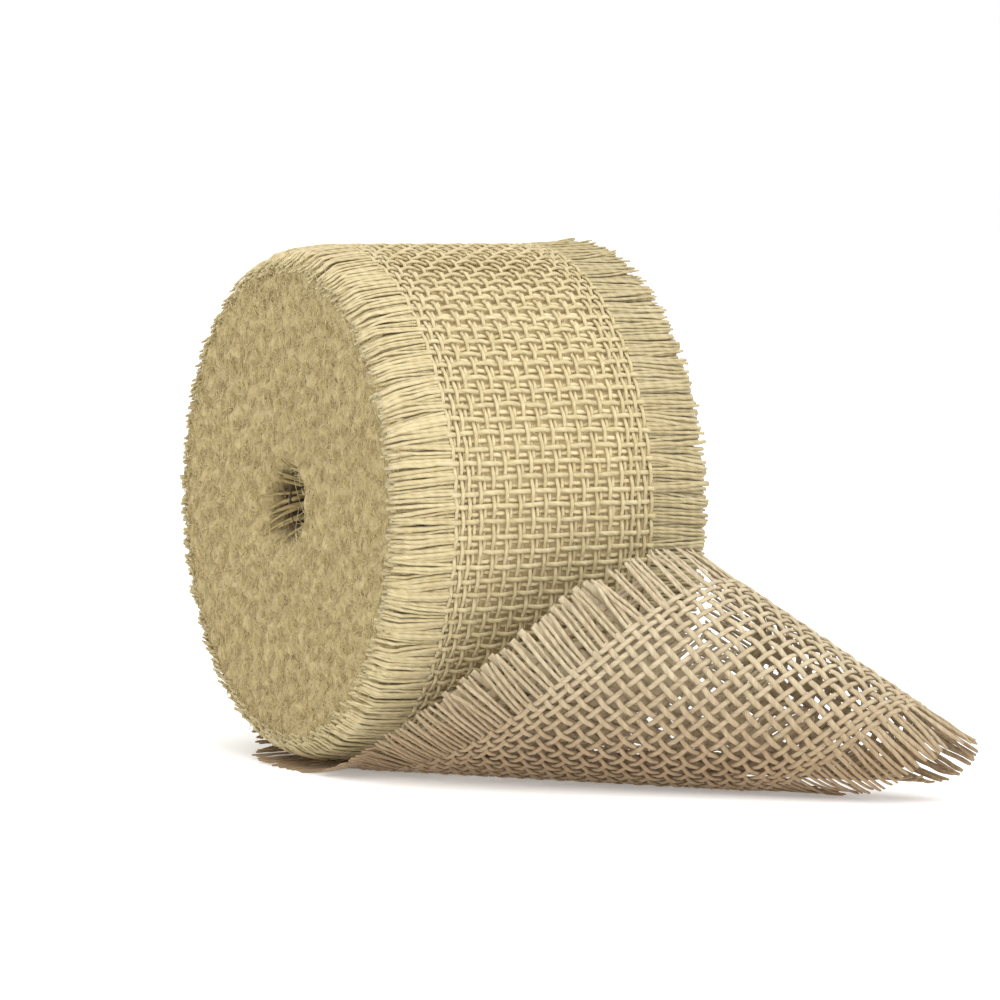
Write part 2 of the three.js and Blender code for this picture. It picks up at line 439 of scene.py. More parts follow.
def mesh_piece(name, points, corners, sizes, maps, finish):
    mesh = bpy.data.meshes.new(name)
    mesh.vertices.add(len(points))
    mesh.vertices.foreach_set("co", points.astype(np.float32).ravel())
    mesh.loops.add(len(corners))
    mesh.loops.foreach_set("vertex_index", corners.astype(np.int32))
    mesh.polygons.add(len(sizes))
    starts = np.concatenate([[0], np.cumsum(sizes)[:-1]])
    mesh.polygons.foreach_set("loop_start", starts.astype(np.int32))
    mesh.update(calc_edges=True)
    mesh.polygons.foreach_set("use_smooth", np.ones(len(sizes), bool))
    for map_name, values in maps.items():
        layer = mesh.uv_layers.new(name=map_name)
        layer.uv.foreach_set("vector", values.astype(np.float32).ravel())
    mesh.materials.append(finish)
    piece = bpy.data.objects.new(name, mesh)
    bpy.context.scene.collection.objects.link(piece)
    return piece


def ring_piece(name, points, finish):
    """A closed ring from (rows, columns, 3) points: both the rows and the columns close on themselves."""
    rows, columns = points.shape[:2]
    row = np.arange(rows)[:, None]
    column = np.arange(columns)[None, :]
    beside = (column + 1) % columns
    below = (row + 1) % rows
    quads = np.stack([
        row * columns + column,
        row * columns + beside,
        below * columns + beside,
        below * columns + column,
    ], -1)
    corners = np.stack([
        np.stack(np.broadcast_arrays(column, row), -1),
        np.stack(np.broadcast_arrays(column + 1, row), -1),
        np.stack(np.broadcast_arrays(column + 1, row + 1), -1),
        np.stack(np.broadcast_arrays(column, row + 1), -1),
    ], -2)
    baking = corners.reshape(-1, 2) / np.array([columns, rows])
    yarn_length = 0.05
    yarn_turns = 3.0
    maps = {"Yarn": baking * np.array([yarn_length, yarn_turns]), "OFBake": baking}
    sizes = np.full(rows * columns, 4)
    return mesh_piece(name, points.reshape(-1, 3), quads.reshape(-1), sizes, maps, finish)


def sway(rng, strands, place_along, waves, size):
    """A smooth random drift along each strand. place_along runs from 0 to 1, and the ends meet."""
    orders = np.arange(1, waves + 1).reshape(1, -1, 1)
    weights = rng.normal(size=(strands, waves, 1)) / np.sqrt(waves * orders)
    phases = rng.uniform(0, FULL_TURN, (strands, waves, 1))
    return size * (weights * np.sin(FULL_TURN * orders * place_along + phases)).sum(1)


def rise(phase):
    """Over and under at whole numbers: +1 at even ones and -1 at odd ones, with rounded flats between."""
    sharpness = 1.4
    return np.tanh(sharpness * np.cos(math.pi * phase)) / math.tanh(sharpness)


def height_of_cloth(cloth):
    """From the middle of the cloth to the crown of a weft."""
    separation = (cloth.warp_height + cloth.weft_height) / 2
    return (1 - cloth.warp_share) * separation + cloth.weft_height / 2


def woven(
        strands, cloth, surface, weft_places, span, rng, detail, middle=0.0, closed=False, shift=0.0,
        swell=None):
    """Warps and wefts over and under each other on a surface, between the two ends of span.

    detail is the samples along a warp, the samples along a weft and the sides of a yarn. swell, from a
    place along and across, is a yarn's width there over the cloth's own.
    """
    separation = (cloth.warp_height + cloth.weft_height) / 2
    warp_rise = cloth.warp_share * separation
    weft_rise = (1 - cloth.warp_share) * separation
    start, end = span
    warp_samples, weft_samples, sides = detail
    warps = WARP_PLACES + shift
    number = np.arange(len(warps))[:, None]
    if closed:
        share = np.arange(warp_samples) / warp_samples
        along = np.broadcast_to(start + (end - start) * share, (len(warps), warp_samples))
        lap = end - start
        lapped = np.concatenate([weft_places[-1:] - lap, weft_places, weft_places[:1] + lap])
        phase = np.interp(along, lapped, np.arange(-1, len(weft_places) + 1))
    else:
        share = np.linspace(0, 1, warp_samples)
        ends = end - rng.uniform(0, cloth.ragged, (len(warps), 1))
        along = start + (ends - start) * share
        phase = np.interp(along, weft_places, np.arange(len(weft_places)))
    warp_waves = 9
    across = warps[:, None] + sway(rng, len(warps), share, warp_waves, cloth.drift)
    height = middle + warp_rise * rise(phase + number)
    width = cloth.warp_width * (swell(along, across) if swell else 1.0)
    lay(strands, surface, along, across, height, width, cloth.warp_height, sides, closed)

    reach = HALF_BAND + cloth.selvage_reach
    across = np.linspace(-reach, reach, weft_samples)
    next_crossing = HALF_BAND + 1.6e-3
    places = np.concatenate([[-next_crossing], warps, [next_crossing]])
    phase = np.interp(across, places, np.arange(-1, len(warps) + 1))
    number = np.arange(len(weft_places))[:, None]
    across = np.broadcast_to(across, (len(weft_places), weft_samples))
    weft_waves = 4
    bow = sway(rng, len(weft_places), np.linspace(0, 1, weft_samples), weft_waves, 1.2 * cloth.drift)
    along = weft_places[:, None] + bow
    height = middle - weft_rise * rise(phase + number)
    width = cloth.weft_width * (swell(along, across) if swell else 1.0)
    lay(strands, surface, along, across, height, width, cloth.weft_height, sides)


def lay(strands, surface, along, across, height, width, thickness, sides, closed=False):
    """Put strands given in flat coordinates on a surface."""
    paths = surface(along, across, height)
    normals = unit(surface(along, across, height + HEIGHT_STEP) - paths)
    strands.add(paths, normals, width, thickness, sides, closed)


def uneven_places(rng, count, start, end, jitter):
    """Evenly set places with a little unevenness that leaves their order alone."""
    pitch = (end - start) / count
    return start + (np.arange(count) + 0.5 + rng.uniform(-jitter, jitter, count)) * pitch


def clumps(rng, count, most):
    """For each of a row of wefts, how far its tip leans towards the middle of its clump, in pitches."""
    lean = np.zeros(count)
    first = 0
    while first < count:
        size = min(int(rng.integers(1, most + 1)), count - first)
        members = np.arange(first, first + size)
        lean[members] = members.mean() - members
        first += size
    return lean


@dataclass
class FringeShape:
    """How a row of cut wefts opens and bends beyond the edge of the band. Lengths are in metres."""

    middle: float = 0.0  # height of the fringe at its root
    droop: float = 0.0  # how far the tips stand off that height
    tuck: float = 0.0  # how far the very tips turn down
    plies: int = 3
    width: float = 0.92e-3
    shortest: float = 0.88  # length of the shortest ply, as a share of the fringe
    comb: float = 0.0  # how far every tip is swept along the ribbon
    slant: float = 0.5e-3  # how far a weft's own plies are swept together
    gather: float = 0.35  # how far the tips close into clumps
    splay: float = 0.22e-3  # how far a ply strays from its place
    wave: float = 0.16e-3
    lift: float = 0.2e-3  # slow bends up and down
    scatter: float = 0.18e-3  # unevenness of the tips' height
    samples: int = 14
    sides: int = 5


def fringe_strands(strands, surface, weft_places, side, rng, shape, bound=None, shares=1.0):
    """Opens each weft's cut end into its plies, beyond one edge of the band.

    bound corrects heights, and shares is each weft's length as a share of the fringe.
    """
    share = np.linspace(0, 1, shape.samples)
    count = len(weft_places)
    weft = np.repeat(np.arange(count), shape.plies)
    ply = np.tile(np.arange(shape.plies), count)
    total = len(weft)
    pitch = np.abs(np.diff(weft_places)).mean()
    length = FRINGE_LENGTH * rng.uniform(shape.shortest, 1.0, (total, 1))
    length = length * np.broadcast_to(shares, count)[weft][:, None]
    slant = rng.normal(0, shape.slant, count)[weft][:, None]
    lean = clumps(rng, count, 3)[weft][:, None] * pitch * shape.gather
    fan = (ply - (shape.plies - 1) / 2)[:, None] * pitch / shape.plies
    spread = fan * (0.62 + 0.38 * share) + rng.normal(0, shape.splay, (total, 1)) * share
    along = weft_places[weft][:, None] + spread + lean * share**1.3 + slant * share**1.5
    along = along + shape.comb * share**1.4 + sway(rng, total, share * 0.8, 3, shape.wave) * share**0.5
    overlap = 0.0004
    across = side * (HALF_BAND - overlap + (length + overlap) * share)
    stacked = np.where(ply % 2 == 0, 0.0, shape.width * 0.3)[:, None]
    height = shape.middle + stacked + shape.droop * share**1.6 - shape.tuck * ease(share, 0.72, 1.0)
    height = height + sway(rng, total, share * 0.7, 2, shape.lift) * share
    height = height + rng.normal(0, shape.scatter, (total, 1)) * share**2
    if bound:
        height = bound(along, across, height)
    blunt = 1.0 - 0.3 * ease(share, 0.88, 1.0)
    width = shape.width * rng.uniform(0.75, 1.15, (total, 1)) * blunt
    lay(strands, surface, along, across, height, width, width * 0.62, shape.sides)


# ------------------------------------------------------------------ finishes


class Number:
    """A number in a finish. Python's arithmetic on it adds the Math nodes."""

    def __init__(self, finish, socket):
        self.finish = finish
        self.socket = socket

    def joined(self, operation, other, swapped=False):
        pair = (other, self) if swapped else (self, other)
        return self.finish.maths(operation, *pair)

    def __add__(self, other):
        return self.joined("ADD", other)

    __radd__ = __add__

    def __sub__(self, other):
        return self.joined("SUBTRACT", other)

    def __rsub__(self, other):
        return self.joined("SUBTRACT", other, swapped=True)

    def __mul__(self, other):
        return self.joined("MULTIPLY", other)

    __rmul__ = __mul__

    def __truediv__(self, other):
        return self.joined("DIVIDE", other)

    def __rtruediv__(self, other):
        return self.joined("DIVIDE", other, swapped=True)


class Finish:
    """A material under construction, with its shader and its output."""

    def __init__(self, name, roughness, sheen=0.0):
        self.material = bpy.data.materials.new(name)
        self.material.use_nodes = True
        self.tree = self.material.node_tree
        self.tree.nodes.clear()
        constants = {"Roughness": roughness, "Specular IOR Level": 0.25, "Sheen Weight": sheen,
                     "Sheen Roughness": 0.5}
        self.shader = self.node("ShaderNodeBsdfPrincipled", {}, constants)
        self.node("ShaderNodeOutputMaterial", {}, {"Surface": self.shader.outputs[0]})

    def node(self, kind, settings, inputs):
        """Any node: its settings first, then the values or links of its sockets."""
        node = self.tree.nodes.new(kind)
        for name, value in settings.items():
            if name == "stops":
                self.set_stops(node.color_ramp, value)
            else:
                setattr(node, name, value)
        for name, value in inputs.items():
            self.give(node.inputs[name], value)
        return node

    def give(self, socket, value):
        if isinstance(value, Number):
            self.tree.links.new(value.socket, socket)
        elif isinstance(value, bpy.types.NodeSocket):
            self.tree.links.new(value, socket)
        else:
            socket.default_value = value

    def set_stops(self, ramp, stops):
        while len(ramp.elements) < len(stops):
            ramp.elements.new(1.0)
        for element, (position, colour) in zip(ramp.elements, stops):
            element.position = position
            element.color = (*colour, 1.0)

    def maths(self, operation, *values):
        node = self.node("ShaderNodeMath", {"operation": operation}, dict(enumerate(values)))
        return Number(self, node.outputs[0])

    def noise(self, vector, scale, detail=3.0, roughness=0.55):
        inputs = {"Vector": vector, "Scale": scale, "Detail": detail, "Roughness": roughness}
        return Number(self, self.node("ShaderNodeTexNoise", {}, inputs).outputs["Fac"])

    def stretch(self, value, low, high):
        inputs = {"Value": value, "From Min": low, "From Max": high}
        return Number(self, self.node("ShaderNodeMapRange", {"clamp": True}, inputs).outputs[0])

    def vector(self, x, y, z):
        return self.node("ShaderNodeCombineXYZ", {}, {"X": x, "Y": y, "Z": z}).outputs[0]

    def mixed(self, share, first, second, blend="MIX"):
        settings = {"data_type": "RGBA", "blend_type": blend}
        return self.node("ShaderNodeMix", settings, {0: share, 6: first, 7: second}).outputs[2]

    def places(self):
        return self.node("ShaderNodeTexCoord", {}, {}).outputs["Object"]

    def strand_random(self):
        return Number(self, self.node("ShaderNodeNewGeometry", {}, {}).outputs["Random Per Island"])

    def bump(self, height, depth, strength=1.0):
        inputs = {"Height": height, "Distance": depth, "Strength": strength}
        self.give(self.shader.inputs["Normal"], self.node("ShaderNodeBump", {}, inputs).outputs[0])

    def colour(self, socket):
        self.give(self.shader.inputs["Base Color"], socket)

    def shaded_hole(self, colour, tint, sizes):
        """The colour darkened with depth inside the mouth of the hole: painted shade."""
        parts = self.node("ShaderNodeSeparateXYZ", {}, {0: self.places()})
        x = Number(self, parts.outputs[0])
        y = Number(self, parts.outputs[1])
        z = Number(self, parts.outputs[2]) - AXIS_HEIGHT
        depth = HALF_WIDTH - self.maths("ABSOLUTE", y)
        nearness = 0.0 - self.maths("SQRT", x * x + z * z)
        rim = sizes.core_radius + sizes.mouth_width + sizes.pulled_width
        inside = self.stretch(nearness, -rim - 0.002, -rim + 0.002)
        share = self.stretch(depth, 0.0020, 0.0056) * inside
        return self.mixed(share, colour, self.mixed(1.0, colour, opaque(tint), "MULTIPLY"))


def opaque(colour, factor=1.0):
    return (*(channel * factor for channel in colour), 1.0)


def jute_finish(name, pale, straw, low_painted_shade=None):
    """Loosely twisted jute: fibres run round the yarn in a slow spiral, with darker flecks between."""
    finish = Finish(name, 0.82, sheen=0.25)
    yarn = finish.node("ShaderNodeUVMap", {"uv_map": "Yarn"}, {}).outputs[0]
    parts = finish.node("ShaderNodeSeparateXYZ", {}, {0: yarn})
    along = Number(finish, parts.outputs[0])
    around = Number(finish, parts.outputs[1])
    own = finish.strand_random()
    twist = 0.0045
    angle = FULL_TURN * (around + along / twist)
    sine = finish.maths("SINE", angle)
    cosine = finish.maths("COSINE", angle)
    fibre_length = 0.0035
    fine_length = 0.0016
    fibre_place = finish.vector(cosine * 1.6, sine * 1.6, along / fibre_length + own * 40)
    fine_place = finish.vector(cosine * 4.2, sine * 4.2, along / fine_length + own * 70)
    fibres = finish.noise(fibre_place, 1.0, 2.0)
    fine = finish.noise(fine_place, 1.0, 3.0, 0.65)
    plies = finish.maths("SINE", 2 * angle)
    mottle = finish.noise(finish.places(), 260.0, 2.0)
    depth = finish.stretch(fibres * 0.5 + fine * 0.35 + mottle * 0.3 - plies * 0.05, 0.36, 0.74)
    body = finish.mixed(depth, opaque(straw), opaque(pale))
    shade = finish.stretch(own, -0.6, 1.3)
    tint = finish.mixed(shade, (0.83, 0.80, 0.72, 1), (1.06, 1.06, 1.05, 1))
    tinted = finish.mixed(1.0, body, tint, "MULTIPLY")
    # Painted shade: the colour darkens and browns towards the floor, from 26 mm high down to 4 mm.
    if low_painted_shade:
        height = Number(finish, finish.node("ShaderNodeSeparateXYZ", {}, {0: finish.places()}).outputs[2])
        lowness = finish.stretch(0.0 - height, -0.026, -0.004)
        tinted = finish.mixed(lowness, tinted, finish.mixed(1.0, tinted, opaque(low_painted_shade), "MULTIPLY"))
    finish.colour(tinted)
    finish.bump(fine * 0.5 + plies * 0.35 + fibres * 0.4, 0.00016, 0.8)
    return finish.material


def fibre_finish(name, pale, straw, tint, sizes):
    """Cut and matted fibre ends: each one its own shade, over slow patches."""
    finish = Finish(name, 0.9, sheen=0.3)
    own = finish.strand_random()
    patches = finish.noise(finish.places(), 330.0, 3.0, 0.6)
    broad = finish.noise(finish.places(), 55.0, 2.0)
    depth = finish.stretch(own * 0.45 + patches * 0.6 + broad * 0.3, 0.34, 1.02)
    finish.colour(finish.shaded_hole(finish.mixed(depth, opaque(straw), opaque(pale)), tint, sizes))
    finish.bump(patches, 0.0002, 0.4)
    return finish.material


def felt_finish(name, pale, straw, tint, sizes):
    """The matted ground between the fibre ends."""
    finish = Finish(name, 0.95, sheen=0.2)
    places = finish.places()
    grain = finish.noise(places, 1300.0, 4.0, 0.7)
    patches = finish.noise(places, 420.0, 3.0, 0.6)
    depth = finish.stretch(grain * 0.7 + patches * 0.4, 0.38, 0.76)
    ground = finish.mixed(depth, opaque(straw, 0.78), opaque(pale, 0.92))
    finish.colour(finish.shaded_hole(ground, tint, sizes))
    finish.bump(grain, 0.0003, 0.9)
    return finish.material


FINISHES = {}


def finish_of(name):
    """Each finish is built once, the first time a piece asks for it."""
    colours = bpy.context.scene.ribbon_colours
    felted = (colours.felt_pale, colours.felt_straw, colours.hole_painted_shade, bpy.context.scene.ribbon_roll)
    makers = {
        "roll_yarn": lambda: jute_finish("roll_yarn", colours.pale, colours.straw),
        "under_yarn": lambda: jute_finish("under_yarn", colours.under_pale_painted_light, colours.under_straw_painted_light),
        "fringe_yarn": lambda: jute_finish("fringe_yarn", colours.fringe_pale, colours.fringe_straw),
        "far_yarn_painted_shade": lambda: jute_finish("far_yarn_painted_shade", colours.far_pale_painted_shade, colours.far_straw_painted_shade),
        "painted_shade_lining": lambda: jute_finish("painted_shade_lining", colours.painted_shade_lining, colours.painted_shade_lining),
        "tail_yarn_painted_shade": lambda: jute_finish(
            "tail_yarn_painted_shade", colours.tail_pale_painted_shade, colours.tail_straw_painted_shade, colours.low_painted_shade),
        "hole_yarn_painted_shade": lambda: jute_finish("hole_yarn_painted_shade", colours.hole_pale_painted_shade, colours.hole_straw_painted_shade),
        "cut_fibre": lambda: fibre_finish("cut_fibre", *felted),
        "felt": lambda: felt_finish("felt", *felted),
    }
    if name not in FINISHES:
        FINISHES[name] = makers[name]()
    return FINISHES[name]


# ------------------------------------------------------------------ the pieces


def roll_wefts(cloth, rng, radius):
    return uneven_places(rng, cloth.wefts_per_turn, 0.0, FULL_TURN * radius, WEFT_JITTER)


class RIBBON_OT_outer_turn(bpy.types.Operator):
    """Weave the outermost turn of the roll"""

    bl_idname = "ribbon.outer_turn"
    bl_label = "Outer turn"

    def execute(self, context):
        cloth = context.scene.ribbon_cloth
        radius = CROWN_RADIUS - height_of_cloth(cloth)
        rng = np.random.default_rng(11)
        strands = Strands()
        wefts = roll_wefts(cloth, rng, radius)
        span = (0.0, FULL_TURN * radius)
        woven(strands, cloth, RollMap(radius), wefts, span, rng, (448, 60, 6), closed=True)
        piece = strands.piece("outer_turn_weave", finish_of("roll_yarn"))
        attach(piece, "roll")
        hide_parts("outer_turn_band", *WARP_NODES)
        return {"FINISHED"}


class RIBBON_OT_under_turns(bpy.types.Operator):
    """Weave the turn below, which shows through the holes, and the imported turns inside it"""

    bl_idname = "ribbon.under_turns"
    bl_label = "Turns beneath"

    def execute(self, context):
        cloth = context.scene.ribbon_cloth
        radius = CROWN_RADIUS - height_of_cloth(cloth) - cloth.pressed_spacing
        rng = np.random.default_rng(12)
        strands = Strands()
        half_pitch = 0.5 * FULL_TURN * radius / cloth.wefts_per_turn
        wefts = roll_wefts(cloth, rng, radius) + half_pitch
        span = (0.0, FULL_TURN * radius)
        shift_in_pitches = 0.4
        shift = shift_in_pitches * np.diff(WARP_PLACES).max()
        woven(strands, cloth, RollMap(radius), wefts, span, rng, (336, 44, 5), closed=True, shift=shift)
        piece = strands.piece("under_turn_weave", finish_of("under_yarn"))
        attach(piece, "roll")
        packed = packed_turns(cloth, context.scene.ribbon_roll, radius - cloth.weft_height)
        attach(packed, "roll")
        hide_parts("wound_turns")
        return {"FINISHED"}


def packed_turns(cloth, sizes, radius):
    """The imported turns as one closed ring, its outside raised where yarns cross."""
    columns = 4 * cloth.wefts_per_turn
    rows = 72
    turn = np.arange(columns) / columns * FULL_TURN
    across = np.linspace(-HALF_BAND, HALF_BAND, rows)[:, None]
    weft_phase = turn / FULL_TURN * cloth.wefts_per_turn
    warp_phase = np.interp(across, WARP_PLACES, np.arange(len(WARP_PLACES)))
    warp_ridge = np.cos(math.pi * warp_phase) ** 2
    weft_ridge = np.cos(math.pi * weft_phase) ** 2
    highest = 0.8 * cloth.weft_height
    relief = highest * np.maximum(0.8 * warp_ridge, weft_ridge)
    outside = RollMap(radius)(turn * radius, across, relief)
    lining_turns = 2
    inside_radius = sizes.core_radius + lining_turns * cloth.turn_spacing
    inside = RollMap(inside_radius)(turn * inside_radius, across[::-1], 0.0 * relief)
    return ring_piece("packed_turns", np.concatenate([outside, inside]), finish_of("under_yarn"))


class RIBBON_OT_fringes(bpy.types.Operator):
    """Open the roll's weft ends into the fringes of its outer turns"""

    bl_idname = "ribbon.fringes"
    bl_label = "Roll fringes"

    def execute(self, context):
        cloth = context.scene.ribbon_cloth
        sizes = context.scene.ribbon_roll
        radius = CROWN_RADIUS - height_of_cloth(cloth)
        near = FringeShape(droop=-sizes.near_droop, tuck=sizes.near_tuck, width=cloth.ply_width, comb=-0.9e-3)
        far = replace(near, droop=sizes.far_flare, tuck=0.0)
        near_end = (NEAR, "near", near, 21, "roll_yarn", "fringe_yarn")
        far_end = (FAR, "far", far, 31, "far_yarn_painted_shade", "far_yarn_painted_shade")
        for side, word, shape, seed, outer_yarn, under_yarn in (near_end, far_end):
            wefts = roll_wefts(cloth, np.random.default_rng(11), radius)
            rng = np.random.default_rng(seed)
            strands = Strands()
            fringe_strands(strands, RollMap(radius), wefts, side, rng, shape)
            piece = strands.piece(f"outer_{word}_fringe_threads", finish_of(outer_yarn))
            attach(piece, "roll")
            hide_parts(f"outer_{word}_fringe")
            strands = Strands()
            shape = replace(shape, slant=0.7e-3, samples=9, sides=4)
            layers_seen = 4
            packed_share = 0.55
            for layer in range(1, layers_seen + 1):
                inner = radius - layer * packed_share * cloth.turn_spacing
                half_pitch = 0.5 * FULL_TURN * inner / cloth.wefts_per_turn
                wefts = roll_wefts(cloth, rng, inner) + layer * half_pitch
                fringe_strands(strands, RollMap(inner), wefts, side, rng, shape)
            piece = strands.piece(f"under_{word}_fringe_threads", finish_of(under_yarn))
            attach(piece, "roll")
        return {"FINISHED"}


def askew(side, paths):
    """One direction that no fibre of an end runs along, for the round fibres' frames."""
    return np.broadcast_to(np.array([0.31, side * 0.85, 0.42]), paths.shape)


def relief_at(rng, x, z, size):
    """Smooth random unevenness over a flat face."""
    waves = 90
    shortest = 0.0014
    longest = 0.0065
    lengths = rng.uniform(shortest, longest, waves)
    headings = rng.uniform(0, FULL_TURN, waves)
    phases = rng.uniform(0, FULL_TURN, waves)
    total = np.zeros(np.broadcast(x, z).shape)
    for length, heading, phase in zip(lengths, headings, phases):
        reach = x * math.cos(heading) + z * math.sin(heading)
        total += np.sin(FULL_TURN * reach / length + phase)
    return size * total / math.sqrt(waves / 2)


def mouth_reach(turn, sizes):
    """How far out from the hole its mouth begins to slope in."""
    return sizes.mouth_width + sizes.pulled_width * np.maximum(np.cos(turn - sizes.pulled_turn), 0) ** 3


def end_profile(radius, turn, sizes, outer):
    """How far the matted end stands back at a place: it rounds off at the rim and into the hole."""
    rim = np.clip((radius - (outer - sizes.edge_round)) / sizes.edge_round, 0, 1)
    reach = mouth_reach(turn, sizes)
    mouth = np.clip((sizes.core_radius + reach - radius) / reach, 0, 1)
    return sizes.edge_round * 0.8 * (1 - np.sqrt(1 - 0.98 * rim**2)) + sizes.mouth_depth * mouth**2


class RIBBON_OT_matted_ends(bpy.types.Operator):
    """Build the two matted ends, where the fringes of all the inner turns are packed together"""

    bl_idname = "ribbon.matted_ends"
    bl_label = "Matted ends"

    def execute(self, context):
        cloth = context.scene.ribbon_cloth
        sizes = context.scene.ribbon_roll
        root = CROWN_RADIUS - sizes.fringe_depth
        near = (NEAR, "near", root - sizes.near_droop, 6, 41)
        far = (FAR, "far", root + 0.5 * sizes.far_flare, 3, 51)
        for side, word, outer, fibres_each, seed in (near, far):
            rng = np.random.default_rng(seed)
            level = HALF_WIDTH - sizes.felt_back
            ground = matted_ground(rng, sizes, side, outer, root, level)
            piece = ring_piece(f"{word}_end_felt", ground, finish_of("felt"))
            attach(piece, "roll")
            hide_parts(f"{word}_fringe_pack")
            strands = end_fibres(rng, cloth, sizes, side, outer, level, fibres_each)
            piece = strands.piece(f"{word}_end_fibres", finish_of("cut_fibre"))
            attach(piece, "roll")
        return {"FINISHED"}


def matted_ground(rng, sizes, side, outer, root, level):
    """The felted surface, carried back along the rim and into the hole as a closed ring."""
    columns = 360
    rings = 110
    turn = np.arange(columns) / columns * FULL_TURN
    radius = np.linspace(sizes.core_radius, outer, rings)[:, None]
    x = radius * np.sin(turn)
    z = -radius * np.cos(turn)
    relief = relief_at(rng, x, z, sizes.end_relief)
    face = place(x, side * (level - end_profile(radius, turn, sizes, outer) + relief), AXIS_HEIGHT + z)
    outer_root = RollMap(root)(turn * root, side * HALF_BAND, 0.0)
    inner_root = RollMap(sizes.core_radius)(turn * sizes.core_radius, side * HALF_BAND, 0.0)
    rows = np.concatenate([inner_root[None], face, outer_root[None]])
    return rows if side < 0 else rows[::-1]


def end_fibres(rng, cloth, sizes, side, outer, level, fibres_each):
    """A tuft of fibres at every cut weft of the wound spiral."""
    past_rim = 0.0004
    off_hole = 0.0014
    astray = 0.45e-3
    astray_along = 0.7e-3
    turns = (outer + past_rim - sizes.core_radius) / cloth.turn_spacing
    pitch = FULL_TURN * CROWN_RADIUS / cloth.wefts_per_turn
    spiral = np.linspace(0, turns, 4000)
    radii = sizes.core_radius + cloth.turn_spacing * spiral
    lengths = np.concatenate([[0], np.cumsum((radii[1:] + radii[:-1]) / 2 * np.diff(spiral) * FULL_TURN)])
    marks = np.arange(0, lengths[-1], pitch)
    turn = np.interp(marks, lengths, spiral)
    radius = np.repeat(sizes.core_radius + cloth.turn_spacing * turn, fibres_each)
    angle = np.repeat(turn * FULL_TURN, fibres_each)
    total = len(radius)
    radius = np.maximum(radius + rng.normal(0, astray, total), sizes.core_radius + off_hole)
    angle = angle + rng.normal(0, astray_along, total) / radius
    samples = 4
    share = np.linspace(0, 1, samples)
    shortest = 0.0012
    longest = 0.0030
    length = rng.uniform(shortest, longest, total)
    heading = rng.uniform(0, FULL_TURN, total)
    lean = rng.uniform(0.6, 1.5, total)
    curve = rng.uniform(0.3, 1.1, total)
    droop = lean[:, None] + curve[:, None] * (share - 0.4)
    steps = length[:, None] / (samples - 1)
    sideways = np.cumsum(np.sin(droop) * steps, 1) - 0.3 * length[:, None]
    outward = np.cumsum(np.cos(droop) * steps, 1)
    x = radius[:, None] * np.sin(angle)[:, None] + sideways * np.cos(heading)[:, None]
    z = -radius[:, None] * np.cos(angle)[:, None] + sideways * np.sin(heading)[:, None]
    back = end_profile(radius, angle, sizes, outer)[:, None]
    sunk = 0.0004
    y = side * (level - back - sunk + 0.6 * outward)
    paths = place(x, y, AXIS_HEIGHT + z)
    finest = 0.10e-3
    coarsest = 0.24e-3
    width = rng.uniform(finest, coarsest, (total, 1)) * (1 - 0.55 * share**2)
    strands = Strands()
    strands.add(paths, askew(side, paths), width, width, 3)
    return strands


class RIBBON_OT_core(bpy.types.Operator):
    """Line the hole with the innermost turn and let a few threads lean into it"""

    bl_idname = "ribbon.core"
    bl_label = "Core hole"

    def execute(self, context):
        cloth = context.scene.ribbon_cloth
        sizes = context.scene.ribbon_roll
        columns = 60
        rows = 90
        turn = np.arange(columns) / columns * FULL_TURN
        reach = HALF_WIDTH - sizes.mouth_depth
        across = np.linspace(-reach, reach, rows)[:, None]
        warp_pitch = 0.0029
        ridge = 0.12e-3
        ridges = ridge * np.cos(across / warp_pitch * FULL_TURN)
        inside = RollMap(sizes.core_radius)(turn * sizes.core_radius, across[::-1], ridges)
        outside_radius = sizes.core_radius + cloth.turn_spacing
        outside = RollMap(outside_radius)(turn * outside_radius, across, 0.0 * ridges)
        piece = ring_piece("core_lining", np.concatenate([outside, inside]), finish_of("painted_shade_lining"))
        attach(piece, "roll")
        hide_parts("core_turn")
        threads = core_fringe(np.random.default_rng(61), cloth, sizes)
        piece = threads.piece("core_threads", finish_of("hole_yarn_painted_shade"))
        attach(piece, "roll")
        return {"FINISHED"}


def mouth_radius(depth, turn, sizes):
    """Radius of the hole at a depth below the matted end."""
    rest = 1 - np.sqrt(np.clip(depth / sizes.mouth_depth, 0, 1))
    return sizes.core_radius + mouth_reach(turn, sizes) * rest


